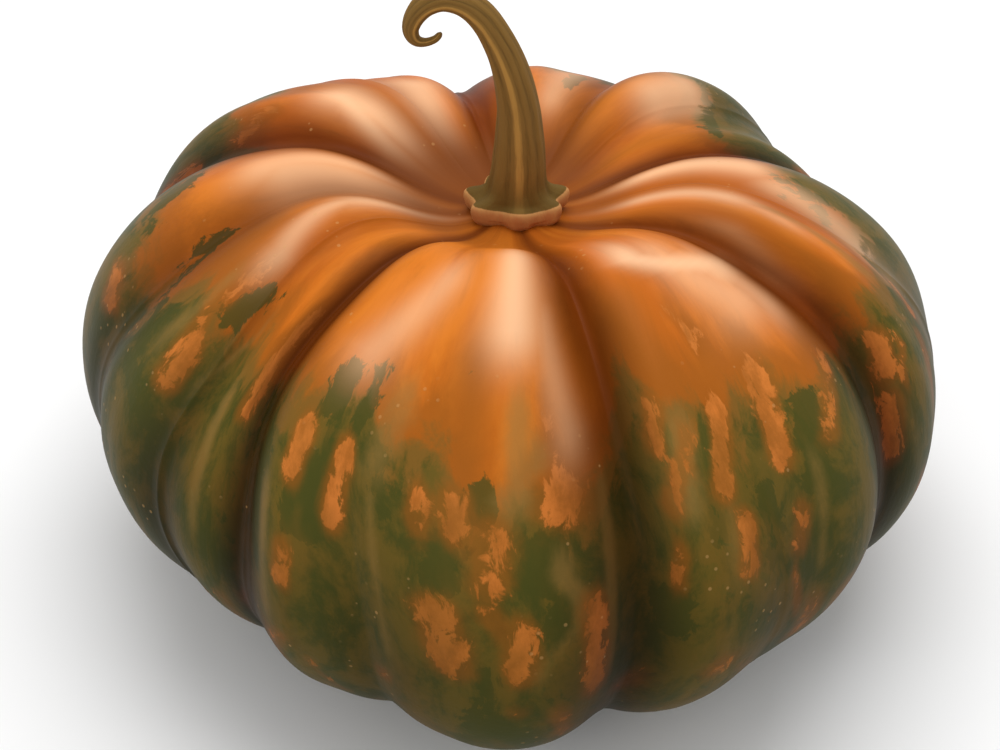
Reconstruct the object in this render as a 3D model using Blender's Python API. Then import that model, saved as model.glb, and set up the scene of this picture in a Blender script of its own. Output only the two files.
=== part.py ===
"""A ribbed cooking pumpkin with a curled, woody stem.

Two pieces: the fruit, grown as one closed body, and the stem that stands in its crown.
Metres, +Z up, with the floor at z = 0 and the front of the fruit towards -Y.
"""

import bmesh
import bpy
import numpy as np
from mathutils import Vector

# ---------------------------------------------------------------- driving sizes, metres and degrees

FRUIT_RADIUS = 0.150            # mean radius at the widest height, before the grooves
UPPER_HEIGHT = 0.0965           # widest height up to the crown, before the stem hollow
LOWER_HEIGHT = 0.0867           # widest height down to the blossom end, before the flat
REST_CUT = 0.0095               # how much of the rib undersides the flat takes off
UPPER_FULLNESS = 0.90           # below 1 the shoulders are broader than an ellipsoid's
LOWER_FULLNESS = 1.00

STEM_HOLLOW_DEPTH = 0.0270
STEM_HOLLOW_SEAT = 0.0150       # radius of the level floor that the stem stands on
STEM_HOLLOW_SPREAD = 0.0340
BLOSSOM_HOLLOW_DEPTH = 0.0180
BLOSSOM_HOLLOW_SPREAD = 0.0375

OUTLINE_CENTRE = (-0.0020, -0.0066)     # middle of the fruit's outline as grown, set over the origin

# A slightly lopsided outline: (front-back, left-right) change for one, two and three bulges round.
RADIUS_LOPSIDE = ((-0.003, 0.000), (-0.002, 0.003), (0.0048, 0.0006))
CROWN_LOPSIDE = ((0.0025, -0.003), (0.0007, 0.0015))

# Every groove: degrees round from the front towards +X, depth, sideways bend above and below
# the middle in degrees, and the share of its depth that reaches the crown.
GROOVES = (
    (-168.0, 0.0160, 0.0, 2.0, 1.0),
    (-144.0, 0.0030, 5.0, -6.0, 1.0),
    (-108.0, 0.0105, -6.0, -3.0, 1.0),
    (-83.0, 0.0070, 5.0, 3.5, 1.0),
    (-61.0, 0.0080, 7.5, 6.5, 0.5),
    (-38.0, 0.0110, -5.0, -1.0, 1.0),
    (-17.0, 0.0040, -5.5, 0.0, 0.1),
    (16.0, 0.0095, 0.0, -3.0, 1.0),
    (38.0, 0.0038, -5.0, -3.0, 0.1),
    (64.0, 0.0125, 3.5, -6.5, 1.0),
    (93.0, 0.0040, -6.0, -6.5, 1.0),
    (113.0, 0.0120, 5.5, 1.0, 1.0),
    (135.0, 0.0035, -0.5, -4.0, 1.0),
    (154.0, 0.0060, 0.0, 0.0, 1.0),
)
# How far each rib swells (or shrinks) at its crest, starting with the rib after the first groove.
RIB_SWELL = (-0.0058, -0.0006, -0.0014, -0.0028, -0.0058, 0.0, 0.0060,
             0.0003, -0.0024, -0.0016, -0.0034, -0.0070, 0.0033, -0.0027)
RIB_ROUNDNESS = 1.85            # power of the curve from a rib's crest to its groove
CROWN_DEEPENING = 0.45          # extra depth of the grooves on the shoulders
GROOVE_LIFT = 0.8               # share of a groove's depth that also pulls towards mid-height

STEPS_PER_RIB = 8
STEPS_DOWN = 36
RING_CROWDING = 0.15            # draws the rings of points towards the two hollows

STEM_GAP = 0.0003               # clearance between the stem's foot and the fruit
STEM_STEPS_ROUND = 36
STEM_STEPS_BETWEEN = 2
STEM_RIDGES = 6
STEM_RIDGE_DEPTH = 0.07         # share of the shaft's radius
FOOT_SCALLOPS = 7
FOOT_SCALLOP_DEPTH = 0.06       # share of the foot's radius
FOOT_SQUASH = 0.85              # the foot is narrower front to back

# The stem's centre line from foot to tip: sideways place, height above the seat, radius,
# and how much of the section is scalloped foot rather than ridged shaft.
STEM_STATIONS = (
    (0.0015, 0.0000, 0.0150, 1.0),
    (0.0015, 0.0025, 0.0168, 1.0),
    (0.0015, 0.0050, 0.0155, 0.8),
    (0.0015, 0.0080, 0.0112, 0.4),
    (0.0015, 0.0120, 0.0093, 0.1),
    (0.0020, 0.0190, 0.0087, 0.0),
    (0.0021, 0.0270, 0.0080, 0.0),
    (0.0017, 0.0380, 0.0070, 0.0),
    (0.0000, 0.0485, 0.0064, 0.0),
    (-0.0026, 0.0580, 0.0058, 0.0),
    (-0.0060, 0.0660, 0.0053, 0.0),
    (-0.0100, 0.0722, 0.0049, 0.0),
    (-0.0155, 0.0762, 0.0045, 0.0),
    (-0.0215, 0.0775, 0.0043, 0.0),
    (-0.0267, 0.0757, 0.0040, 0.0),
    (-0.0303, 0.0718, 0.0034, 0.0),
    (-0.0320, 0.0675, 0.0028, 0.0),
    (-0.0316, 0.0643, 0.0023, 0.0),
    (-0.0300, 0.0624, 0.0018, 0.0),
    (-0.0275, 0.0620, 0.0014, 0.0),
    (-0.0247, 0.0630, 0.0012, 0.0),
    (-0.0225, 0.0650, 0.0008, 0.0),
)

FRUIT_COLOUR = (0.55, 0.22, 0.05, 1.0)
STEM_COLOUR = (0.20, 0.12, 0.04, 1.0)


# ---------------------------------------------------------------- helpers

def smoothstep(value):
    """0 below 0, 1 above 1, with a soft start and end between."""
    t = np.clip(value, 0.0, 1.0)
    return t * t * (3.0 - 2.0 * t)


def crown_share(polar, share):
    """Weight of a groove whose depth fades towards the crown."""
    low, high = np.radians(50.0), np.radians(95.0)
    return share + (1.0 - share) * smoothstep((polar - low) / (high - low))


def fruit_surface(rib, across, polar):
    """Points on the fruit's skin.

    rib: index of the rib, across: 0 at its first groove to 1 at its next, polar: angle from the
    crown. Half of a rounded profile is turned round, hollowed at both ends, and then each
    groove draws it in towards a point at mid-height.
    """
    table = np.array(GROOVES)
    following = np.roll(table, -1, axis=0)
    following[-1, 0] += 360.0
    here, there = table[rib], following[rib]
    longitude = here[:, 0] + (there[:, 0] - here[:, 0]) * across
    upper_bend = here[:, 2] + (there[:, 2] - here[:, 2]) * across
    lower_bend = here[:, 3] + (there[:, 3] - here[:, 3]) * across
    upper_zone = np.exp(-((polar / np.pi - 0.28) / 0.14) ** 2)
    lower_zone = np.exp(-((polar / np.pi - 0.62) / 0.16) ** 2)
    around = np.radians(longitude)
    turned = around + np.radians(upper_bend * upper_zone + lower_bend * lower_zone)

    upper = polar < np.pi / 2
    fullness = np.where(upper, UPPER_FULLNESS, LOWER_FULLNESS)
    spread = np.abs(np.sin(polar)) ** fullness
    rise = np.cos(polar)
    lean = sum(c * np.cos((k + 1) * around) + s * np.sin((k + 1) * around)
               for k, (c, s) in enumerate(CROWN_LOPSIDE))
    crown = UPPER_HEIGHT + lean * smoothstep(spread / 0.5)
    height = LOWER_HEIGHT + np.where(upper, crown, LOWER_HEIGHT) * rise
    radius = FRUIT_RADIUS * spread
    past_seat = np.maximum(radius - STEM_HOLLOW_SEAT, 0.0)
    height -= upper * STEM_HOLLOW_DEPTH * np.exp(-(past_seat / STEM_HOLLOW_SPREAD) ** 2)
    height += ~upper * BLOSSOM_HOLLOW_DEPTH * np.exp(-(radius / BLOSSOM_HOLLOW_SPREAD) ** 2)

    offset = 2.0 * across - 1.0
    from_crest = np.abs(offset)
    nearer = np.where(offset < 0.0, here[:, 1], there[:, 1])
    share = np.where(offset < 0.0, here[:, 4], there[:, 4])
    depth = nearer * crown_share(polar, share) * from_crest ** RIB_ROUNDNESS
    swell = np.array(RIB_SWELL)[rib] * (1.0 - from_crest ** 2)
    opening = smoothstep((radius - STEM_HOLLOW_SEAT) / (0.3 * FRUIT_RADIUS))
    deepening = 1.0 + CROWN_DEEPENING * np.clip(rise, 0.0, 1.0)
    drawn = (depth - swell) / FRUIT_RADIUS * opening * deepening

    outline = 1.0 + sum(c * np.cos((k + 1) * around) + s * np.sin((k + 1) * around)
                        for k, (c, s) in enumerate(RADIUS_LOPSIDE)) / FRUIT_RADIUS
    reach = radius * outline * (1.0 - drawn)
    middle = 0.9 * LOWER_HEIGHT
    height = middle + (height - middle) * (1.0 - GROOVE_LIFT * drawn)
    height = np.maximum(height, REST_CUT) - REST_CUT
    x = reach * np.sin(turned) - OUTLINE_CENTRE[0]
    y = -reach * np.cos(turned) - OUTLINE_CENTRE[1]
    return np.stack([x, y, height], axis=-1)


def seat_height():
    """Height of the level floor under the stem's foot."""
    centre = fruit_surface(np.array([0]), np.array([0.0]), np.array([0.0]))
    return float(centre[0, 2])


def make_material(name, colour, roughness):
    """A plain Principled material."""
    material = bpy.data.materials.new(name)
    material.use_nodes = True
    shader = material.node_tree.nodes["Principled BSDF"]
    shader.inputs["Base Color"].default_value = colour
    shader.inputs["Roughness"].default_value = roughness
    shader.inputs["Metallic"].default_value = 0.0
    return material


def add_object(name, bm, material, collection):
    """Turn a bmesh into a smooth-shaded object in the collection."""
    bm.normal_update()
    bmesh.ops.recalc_face_normals(bm, faces=bm.faces)
    for face in bm.faces:
        face.smooth = True
    mesh = bpy.data.meshes.new(name)
    bm.to_mesh(mesh)
    bm.free()
    mesh.materials.append(material)
    new_object = bpy.data.objects.new(name, mesh)
    collection.objects.link(new_object)
    return new_object


# ---------------------------------------------------------------- pieces

def build_fruit(collection):
    """The ribbed body: a sphere whose columns are moved onto the ribs and grooves."""
    columns = STEPS_PER_RIB * len(GROOVES)
    bm = bmesh.new()
    bmesh.ops.create_uvsphere(bm, u_segments=columns, v_segments=STEPS_DOWN, radius=1.0)
    unit = np.array([vert.co[:] for vert in bm.verts])
    turn = np.degrees(np.arctan2(unit[:, 0], -unit[:, 1])) % 360.0
    column = np.rint(turn / 360.0 * columns).astype(int) % columns
    even_polar = np.arccos(np.clip(unit[:, 2], -1.0, 1.0))
    polar = even_polar - RING_CROWDING * np.sin(2.0 * even_polar)
    rib = column // STEPS_PER_RIB
    across = (column % STEPS_PER_RIB) / STEPS_PER_RIB
    points = fruit_surface(rib, across, polar)
    for vert, point in zip(bm.verts, points):
        vert.co = point
    skin = make_material("fruit_skin", FRUIT_COLOUR, 0.42)
    return add_object("pumpkin_fruit", bm, skin, collection)


def stem_rings():
    """Centre, tangent, radius and foot share of every ring of the stem, eased along its path."""
    stations = np.array(STEM_STATIONS)
    last = len(stations) - 1
    rings = []
    for step in range(last * STEM_STEPS_BETWEEN + 1):
        index = min(step // STEM_STEPS_BETWEEN, last - 1)
        t = step / STEM_STEPS_BETWEEN - index
        before, start, end, after = (stations[np.clip(index + k, 0, last)] for k in (-1, 0, 1, 2))
        eased = 0.5 * (2.0 * start + (end - before) * t
                       + (2.0 * before - 5.0 * start + 4.0 * end - after) * t ** 2
                       + (3.0 * start - before - 3.0 * end + after) * t ** 3)
        rings.append(eased)
    rings = np.array(rings)
    tangents = np.gradient(rings[:, :2], axis=0)
    tangents /= np.linalg.norm(tangents, axis=1)[:, None]
    tangents[rings[:, 3] > 0.05] = (0.0, 1.0)
    return rings, tangents


def build_stem(collection):
    """The stem: a loft from a scalloped foot, up a ridged shaft, to the end of the curl."""
    rings, tangents = stem_rings()
    floor = seat_height() + STEM_GAP
    bm = bmesh.new()
    loops = []
    for (x, rise, radius, foot), (tangent_x, tangent_z) in zip(rings, tangents):
        side = Vector((tangent_z, 0.0, -tangent_x))
        loop = []
        for step in range(STEM_STEPS_ROUND):
            angle = 2.0 * np.pi * step / STEM_STEPS_ROUND
            ridge = 1.0 + STEM_RIDGE_DEPTH * np.cos(STEM_RIDGES * angle)
            scallop = 1.0 + FOOT_SCALLOP_DEPTH * np.cos(FOOT_SCALLOPS * angle)
            reach = radius * (scallop * foot + ridge * (1.0 - foot))
            squash = 1.0 - (1.0 - FOOT_SQUASH) * foot
            place = Vector((x - OUTLINE_CENTRE[0], -OUTLINE_CENTRE[1], floor + rise))
            place += side * (reach * np.cos(angle))
            place.y += reach * squash * np.sin(angle)
            loop.append(bm.verts.new(place))
        loops.append(loop)
    for lower, upper in zip(loops, loops[1:]):
        for step in range(STEM_STEPS_ROUND):
            following = (step + 1) % STEM_STEPS_ROUND
            bm.faces.new((lower[step], lower[following], upper[following], upper[step]))
    bm.faces.new(loops[0])
    bm.faces.new(loops[-1])
    wood = make_material("stem_wood", STEM_COLOUR, 0.75)
    return add_object("pumpkin_stem", bm, wood, collection)


def main():
    for old in list(bpy.data.objects):
        bpy.data.objects.remove(old, do_unlink=True)
    collection = bpy.data.collections.new("pumpkin")
    bpy.context.scene.collection.children.link(collection)
    build_fruit(collection)
    build_stem(collection)


if __name__ == "__main__":
    main()
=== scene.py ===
"""Looks of the ribbed pumpkin: its mottled rind, its woody stem, and a plain studio.

Laid out as an add-on with one panel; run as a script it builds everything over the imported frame.
"""

import bmesh
import bpy
import numpy as np
from bpy.props import FloatProperty, FloatVectorProperty, PointerProperty
from bpy.types import Operator, Panel, PropertyGroup
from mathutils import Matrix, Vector


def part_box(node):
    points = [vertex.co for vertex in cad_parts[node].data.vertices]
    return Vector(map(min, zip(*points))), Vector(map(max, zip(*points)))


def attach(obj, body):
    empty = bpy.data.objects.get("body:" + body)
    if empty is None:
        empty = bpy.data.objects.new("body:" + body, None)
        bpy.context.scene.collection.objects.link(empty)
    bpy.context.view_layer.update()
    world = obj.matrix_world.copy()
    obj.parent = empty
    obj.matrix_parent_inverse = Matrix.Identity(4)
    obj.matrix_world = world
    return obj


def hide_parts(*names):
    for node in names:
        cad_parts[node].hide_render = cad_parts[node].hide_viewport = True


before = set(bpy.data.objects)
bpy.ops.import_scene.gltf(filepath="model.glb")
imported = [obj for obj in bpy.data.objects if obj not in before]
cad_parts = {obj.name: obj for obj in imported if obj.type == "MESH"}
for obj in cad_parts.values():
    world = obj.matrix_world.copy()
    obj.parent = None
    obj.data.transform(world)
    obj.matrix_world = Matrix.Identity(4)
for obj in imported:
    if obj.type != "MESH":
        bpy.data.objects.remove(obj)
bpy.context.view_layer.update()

bl_info = {
    "name": "Ribbed Pumpkin",
    "version": (1, 0, 0),
    "blender": (4, 5, 0),
    "location": "View3D > Sidebar > Pumpkin",
    "description": "Builds a ribbed pumpkin with a curled stem, and a plain studio round it",
    "category": "Add Mesh",
}

# ---------------------------------------------------------------- sizes of the grown shape, metres

FRUIT_RADIUS = 0.150
UPPER_HEIGHT = 0.0965           # from the widest level up, before the hollow is sunk
LOWER_HEIGHT = 0.0867           # from the widest level down
REST_CUT = 0.0095               # what the flats take off the bottom
UPPER_FULLNESS = 0.90           # powers of the profile: lower is fuller
LOWER_FULLNESS = 1.00
STEM_HOLLOW_DEPTH = 0.0270
STEM_HOLLOW_SEAT = 0.0150       # radius of the level floor that the stem stands on
STEM_HOLLOW_SPREAD = 0.0340
BLOSSOM_HOLLOW_DEPTH = 0.0180
BLOSSOM_HOLLOW_SPREAD = 0.0375
# Cosine and sine parts of the unevenness at one, two and three waves a turn.
RADIUS_LOPSIDE = ((-0.003, 0.000), (-0.002, 0.003), (0.0048, 0.0006))
CROWN_LOPSIDE = ((0.0025, -0.003), (0.0007, 0.0015))
OUTLINE_CENTRE = (-0.0020, -0.0066)
BROAD_UNEVENNESS = 0.0011
FINE_UNEVENNESS = 0.00032

# Grooves: degrees round from the front towards +X, depth, bend above and below the middle in
# degrees, and the share of the depth that reaches the crown.
GROOVES = (
    (-168.0, 0.0160, 0.0, 2.0, 1.0),
    (-144.0, 0.0030, 5.0, -6.0, 1.0),
    (-108.0, 0.0105, -6.0, -3.0, 1.0),
    (-83.0, 0.0070, 5.0, 3.5, 1.0),
    (-61.0, 0.0080, 7.5, 6.5, 0.5),
    (-38.0, 0.0110, -5.0, -1.0, 1.0),
    (-17.0, 0.0040, -5.5, 0.0, 0.1),
    (16.0, 0.0095, 0.0, -3.0, 1.0),
    (38.0, 0.0038, -5.0, -3.0, 0.1),
    (64.0, 0.0125, 3.5, -6.5, 1.0),
    (93.0, 0.0040, -6.0, -6.5, 1.0),
    (113.0, 0.0120, 5.5, 1.0, 1.0),
    (135.0, 0.0035, -0.5, -4.0, 1.0),
    (154.0, 0.0060, 0.0, 0.0, 1.0),
)
RIB_SWELL = (-0.0058, -0.0006, -0.0014, -0.0028, -0.0058, 0.0, 0.0060,
             0.0003, -0.0024, -0.0016, -0.0034, -0.0070, 0.0033, -0.0027)
RIB_ROUNDNESS = 1.85            # power of the curve from a rib's crest to its groove
GROOVE_FILLET = 0.18            # share of a rib's half width that rounds the groove's bottom
CROWN_DEEPENING = 0.75          # extra depth of the grooves on the shoulders
GROOVE_LIFT = 0.8               # share of a groove's depth that also pulls towards mid-height

COLUMNS_PER_RIB = 50
COLUMN_CROWDING = 0.35          # draws the columns towards the grooves
ROWS_DOWN = 136
ROW_CROWDING = 0.12             # draws the rows towards the two hollows


# ---------------------------------------------------------------- shape helpers

def smoothstep(value):
    """0 below 0, 1 above 1, with a soft start and end between."""
    t = np.clip(value, 0.0, 1.0)
    return t * t * (3.0 - 2.0 * t)


def rounded_fall(from_crest):
    """A rib's fall from its crest (0) to its groove (1): a power curve whose last stretch is
    turned level by a parabola, so that the groove has a rounded bottom."""
    start = 1.0 - GROOVE_FILLET
    slope = RIB_ROUNDNESS * start ** (RIB_ROUNDNESS - 1.0)
    past = np.clip(from_crest - start, 0.0, GROOVE_FILLET)
    body = np.minimum(from_crest, start) ** RIB_ROUNDNESS
    return body + slope * past - slope * past ** 2 / (2.0 * GROOVE_FILLET)


def crown_share(polar, share):
    """Weight of a groove whose depth fades towards the crown."""
    low, high = np.radians(50.0), np.radians(95.0)
    return share + (1.0 - share) * smoothstep((polar - low) / (high - low))


def waves(around, polar, seed, count, low, high, steepness):
    """Sum of seeded sine waves round and down the fruit, which close on themselves all round:
    each is sin(k * around + m * polar + phase), scaled to about -1 to 1."""
    rng = np.random.default_rng(seed)
    turns = rng.integers(low, high + 1, count)
    falls = rng.uniform(-steepness, steepness, count)
    phases = rng.uniform(0.0, 2.0 * np.pi, count)
    total = np.zeros(np.broadcast(around, polar).shape)
    for k, m, phase in zip(turns, falls, phases):
        total += np.sin(k * around + m * polar + phase)
    return total / np.sqrt(0.5 * count) / 2.0


def fruit_grid(groove_scale, relief):
    """The rind as a grid, columns round by rows down from crown to blossom end.

    Half of a rounded profile, sin(p) ** fullness by cos(p), is turned round and hollowed at both
    ends. Between two grooves the fall from the rib's crest draws each point towards a point at
    mid-height, and low waves add the unevenness of a grown rind.
    Returns the points and, for every point, the longitude, the polar angle, how near it is to a
    groove (0 crest to 1 bottom) and that groove's depth.
    """
    half = np.linspace(-1.0, 1.0, COLUMNS_PER_RIB, endpoint=False)
    offset = COLUMN_CROWDING * np.sin(0.5 * np.pi * half) + (1.0 - COLUMN_CROWDING) * half
    across = np.tile(0.5 * (offset + 1.0), len(GROOVES))[:, None]
    rib = np.repeat(np.arange(len(GROOVES)), COLUMNS_PER_RIB)
    even = np.linspace(0.0, np.pi, ROWS_DOWN + 2)[1:-1]
    polar = (even - ROW_CROWDING * np.sin(2.0 * even))[None, :]

    table = np.array(GROOVES)
    following = np.roll(table, -1, axis=0)
    following[-1, 0] += 360.0
    here, there = table[rib][:, :, None], following[rib][:, :, None]
    longitude = here[:, 0] + (there[:, 0] - here[:, 0]) * across
    upper_bend = here[:, 2] + (there[:, 2] - here[:, 2]) * across
    lower_bend = here[:, 3] + (there[:, 3] - here[:, 3]) * across
    upper_zone = np.exp(-((polar / np.pi - 0.28) / 0.14) ** 2)
    lower_zone = np.exp(-((polar / np.pi - 0.62) / 0.16) ** 2)
    around = np.radians(longitude)
    turned = around + np.radians(upper_bend * upper_zone + lower_bend * lower_zone)

    upper = polar < np.pi / 2
    spread = np.abs(np.sin(polar)) ** np.where(upper, UPPER_FULLNESS, LOWER_FULLNESS)
    rise = np.cos(polar)
    lean = sum(c * np.cos((k + 1) * around) + s * np.sin((k + 1) * around)
               for k, (c, s) in enumerate(CROWN_LOPSIDE))
    crown = UPPER_HEIGHT + lean * smoothstep(spread / 0.5)
    height = LOWER_HEIGHT + np.where(upper, crown, LOWER_HEIGHT) * rise
    radius = FRUIT_RADIUS * spread
    past_seat = np.maximum(radius - STEM_HOLLOW_SEAT, 0.0)
    height = height - upper * STEM_HOLLOW_DEPTH * np.exp(-(past_seat / STEM_HOLLOW_SPREAD) ** 2)
    height += ~upper * BLOSSOM_HOLLOW_DEPTH * np.exp(-(radius / BLOSSOM_HOLLOW_SPREAD) ** 2)

    from_crest = np.abs(2.0 * across - 1.0)
    nearer = np.where(across < 0.5, here[:, 1], there[:, 1])
    share = np.where(across < 0.5, here[:, 4], there[:, 4])
    strength = nearer * crown_share(polar, share)
    swell = np.array(RIB_SWELL)[rib][:, None] * (1.0 - from_crest ** 2)
    opening = smoothstep((radius - STEM_HOLLOW_SEAT) / (0.3 * FRUIT_RADIUS))
    deepening = 1.0 + CROWN_DEEPENING * np.clip(rise, 0.0, 1.0)
    fall = strength * rounded_fall(from_crest) * groove_scale
    drawn = (fall - swell) / FRUIT_RADIUS * opening * deepening
    unevenness = BROAD_UNEVENNESS * waves(around, polar, 5, 14, 3, 9, 5.0)
    outward = smoothstep((radius - 0.035) / 0.060)
    unevenness = unevenness + FINE_UNEVENNESS * outward * waves(around, polar, 8, 18, 18, 46, 3.0)
    drawn = drawn - relief * unevenness * opening / FRUIT_RADIUS

    outline = 1.0 + sum(c * np.cos((k + 1) * around) + s * np.sin((k + 1) * around)
                        for k, (c, s) in enumerate(RADIUS_LOPSIDE)) / FRUIT_RADIUS
    reach = radius * outline * (1.0 - drawn)
    middle = 0.9 * LOWER_HEIGHT
    height = middle + (height - middle) * (1.0 - GROOVE_LIFT * drawn)
    height = np.maximum(height, REST_CUT) - REST_CUT
    x = reach * np.sin(turned) - OUTLINE_CENTRE[0]
    y = -reach * np.cos(turned) - OUTLINE_CENTRE[1]
    points = np.stack([x, y, height], axis=-1)
    shape = points.shape[:2]
    maps = {
        "longitude": np.broadcast_to(longitude, shape),
        "polar": np.broadcast_to(polar, shape),
        "from_crest": np.broadcast_to(from_crest, shape),
        "strength": np.broadcast_to(strength, shape),
    }
    return points, maps


def fit_to_box(points, node):
    """Stretch the points a hair so that their box is exactly the node's box."""
    low, high = (np.array(corner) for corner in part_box(node))
    least = points.reshape(-1, 3).min(axis=0)
    most = points.reshape(-1, 3).max(axis=0)
    return low + (points - least) / (most - least) * (high - low)


# ---------------------------------------------------------------- mesh helpers

def mesh_from_grid(name, points, pole_start, pole_end):
    """A closed tube of quads from a grid (columns round, rows along), with each end drawn to a
    single point by a fan. Columns wrap, so there is no seam."""
    columns, rows = points.shape[:2]
    ring = np.arange(columns * rows).reshape(columns, rows)
    beside = np.roll(ring, -1, axis=0)
    quads = np.stack([ring[:, :-1], ring[:, 1:], beside[:, 1:], beside[:, :-1]], axis=-1)
    first, last = columns * rows, columns * rows + 1
    vertices = np.concatenate([points.reshape(-1, 3), [pole_start, pole_end]])
    start_fan = np.stack([np.full(columns, first), ring[:, 0], beside[:, 0]], axis=-1)
    end_fan = np.stack([np.full(columns, last), beside[:, -1], ring[:, -1]], axis=-1)
    faces = quads.reshape(-1, 4).tolist() + start_fan.tolist() + end_fan.tolist()
    mesh = bpy.data.meshes.new(name)
    mesh.from_pydata(vertices.tolist(), [], faces)
    mesh.polygons.foreach_set("use_smooth", np.ones(len(mesh.polygons), dtype=bool))
    mesh.update()
    return mesh


def face_outwards(mesh):
    """Turn the faces of a closed mesh so that they point out."""
    work = bmesh.new()
    work.from_mesh(mesh)
    work.normal_update()
    bmesh.ops.recalc_face_normals(work, faces=work.faces)
    if work.calc_volume(signed=True) < 0.0:
        bmesh.ops.reverse_faces(work, faces=work.faces)
    work.to_mesh(mesh)
    work.free()


def add_value_layer(mesh, name, grid, at_start, at_end):
    """Store one number a point; the two pole values come last."""
    layer = mesh.attributes.new(name, "FLOAT", "POINT")
    values = np.concatenate([np.asarray(grid, dtype=float).ravel(), [at_start, at_end]])
    layer.data.foreach_set("value", values)


def add_vector_layer(mesh, name, grid, at_start, at_end):
    """Store one vector a point; the two pole vectors come last."""
    layer = mesh.attributes.new(name, "FLOAT_VECTOR", "POINT")
    values = np.concatenate([grid.reshape(-1, 3), [at_start, at_end]])
    layer.data.foreach_set("vector", values.ravel())


def add_piece(name, mesh, material, node):
    """Link a finished piece, hang it under the root body and hide the CAD node it stands for."""
    mesh.materials.append(material)
    piece = bpy.data.objects.new(name, mesh)
    bpy.context.scene.collection.objects.link(piece)
    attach(piece, "root")
    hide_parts(node)
    return piece


# ---------------------------------------------------------------- stem sizes, metres and degrees

# Centre line from foot to tip: sideways place, height above the seat, radius, and how much of
# the section is lobed foot rather than ridged shaft.
STEM_STATIONS = (
    (0.0012, -0.0018, 0.0142, 1.0),
    (0.0012, 0.0002, 0.0156, 1.0),
    (0.0012, 0.0024, 0.0163, 1.0),
    (0.0012, 0.0044, 0.0160, 1.0),
    (0.0012, 0.0055, 0.0146, 1.0),
    (0.0014, 0.0064, 0.0122, 0.7),
    (0.0015, 0.0082, 0.0104, 0.3),
    (0.0015, 0.0115, 0.0094, 0.1),
    (0.0020, 0.0190, 0.0087, 0.0),
    (0.0021, 0.0270, 0.0080, 0.0),
    (0.0017, 0.0380, 0.0069, 0.0),
    (0.0000, 0.0485, 0.0062, 0.0),
    (-0.0028, 0.0580, 0.0055, 0.0),
    (-0.0063, 0.0658, 0.0050, 0.0),
    (-0.0104, 0.0719, 0.0047, 0.0),
    (-0.0155, 0.0760, 0.0044, 0.0),
    (-0.0215, 0.0775, 0.0042, 0.0),
    (-0.0267, 0.0757, 0.0039, 0.0),
    (-0.0303, 0.0718, 0.0034, 0.0),
    (-0.0320, 0.0675, 0.0028, 0.0),
    (-0.0316, 0.0643, 0.0023, 0.0),
    (-0.0300, 0.0624, 0.0018, 0.0),
    (-0.0275, 0.0620, 0.0014, 0.0),
    (-0.0247, 0.0630, 0.0012, 0.0),
    (-0.0232, 0.0645, 0.0010, 0.0),
    (-0.0226, 0.0653, 0.0005, 0.0),
)
STEM_COLUMNS = 144
STEM_ROWS_BETWEEN = 9
STEM_TWIST = -32.0              # turn of the ridges from the foot to the tip
SHAFT_FURROW = 0.955            # radius at the bottom of the furrows, in shares of the row's
SHAFT_GRAIN = 0.012             # height of the fine grain, in the same shares
# Ridges of the shaft: place round the stem at its foot, half width, and height in shares of
# the radius.
STEM_RIDGES = (
    (-84.0, 15.0, 0.100),
    (-132.0, 24.0, 0.060),
    (-52.0, 11.0, 0.050),
    (-22.0, 14.0, 0.060),
    (14.0, 17.0, 0.055),
    (58.0, 20.0, 0.070),
    (104.0, 18.0, 0.060),
    (148.0, 19.0, 0.065),
    (-172.0, 14.0, 0.045),
)
TALLEST_RIDGE = max(tall for _, _, tall in STEM_RIDGES)
FOOT_LOBES = 7
FOOT_LOBE_START = -88.0
FOOT_LOBE_DEPTH = 0.11          # share of the foot's radius
FOOT_LOBE_LIFT = 0.0007         # how far the lobes curl up
FOOT_SQUASH = 0.76              # the foot is narrower front to back
RIM_TOP = 0.0058                # the pale rim of the foot ends at this height
RIM_SHADE = 0.0030              # its darker flesh ends at this one
OLIVE_TOP = 0.0180              # and the olive of the shaft's base at this one


def eased_path(stations, between):
    """Rows eased through the stations: each span is the cubic whose end slopes are half the
    difference of the stations on either side."""
    last = len(stations) - 1
    place = np.linspace(0.0, last, last * between + 1)
    index = np.minimum(place.astype(int), last - 1)
    t = (place - index)[:, None]
    before = stations[np.maximum(index - 1, 0)]
    start, end = stations[index], stations[index + 1]
    after = stations[np.minimum(index + 2, last)]
    return 0.5 * (2.0 * start + (end - before) * t
                  + (2.0 * before - 5.0 * start + 4.0 * end - after) * t ** 2
                  + (3.0 * start - before - 3.0 * end + after) * t ** 3)


def turn_between(angle, centre):
    """Signed turn from centre to angle, -180 to 180 degrees."""
    return (angle - centre + 180.0) % 360.0 - 180.0


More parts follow.
